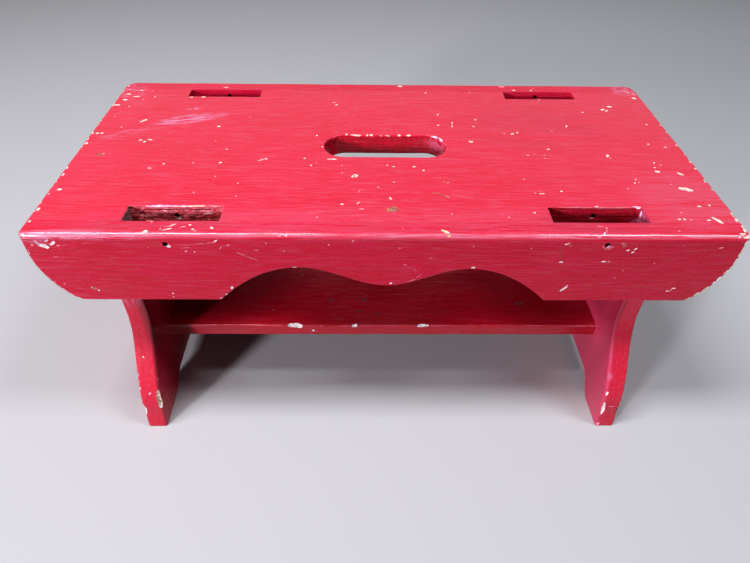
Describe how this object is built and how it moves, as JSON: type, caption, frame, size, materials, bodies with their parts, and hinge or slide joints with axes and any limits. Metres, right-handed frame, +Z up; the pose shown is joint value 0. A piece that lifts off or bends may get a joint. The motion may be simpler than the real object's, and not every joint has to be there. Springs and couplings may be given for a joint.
{
  "type": "footstool",
  "caption": "Low painted wooden stool with a hand hold and pinned sockets in the seat, scalloped aprons, ogee leg panels and a shelf between them.",
  "frame": {"origin": "on the floor under the middle of the seat", "axes": "+X to the right along the seat, +Y away from the viewer, +Z up"},
  "size_m": [0.42, 0.238, 0.168],
  "materials": {
    "red_paint": "brushed gloss paint on wood, chipped at the arrises",
    "nail_steel": "plain wire nails, set and filled over"
  },
  "bodies": {
    "root": {"seat_board": "red_paint", "front_apron": "red_paint", "rear_apron": "red_paint", "left_leg": "red_paint", "right_leg": "red_paint", "shelf": "red_paint", "front_apron_nails": "nail_steel", "rear_apron_nails": "nail_steel", "seat_nails": "nail_steel", "left_shelf_nails": "nail_steel", "right_shelf_nails": "nail_steel"}
  },
  "joints": []
}
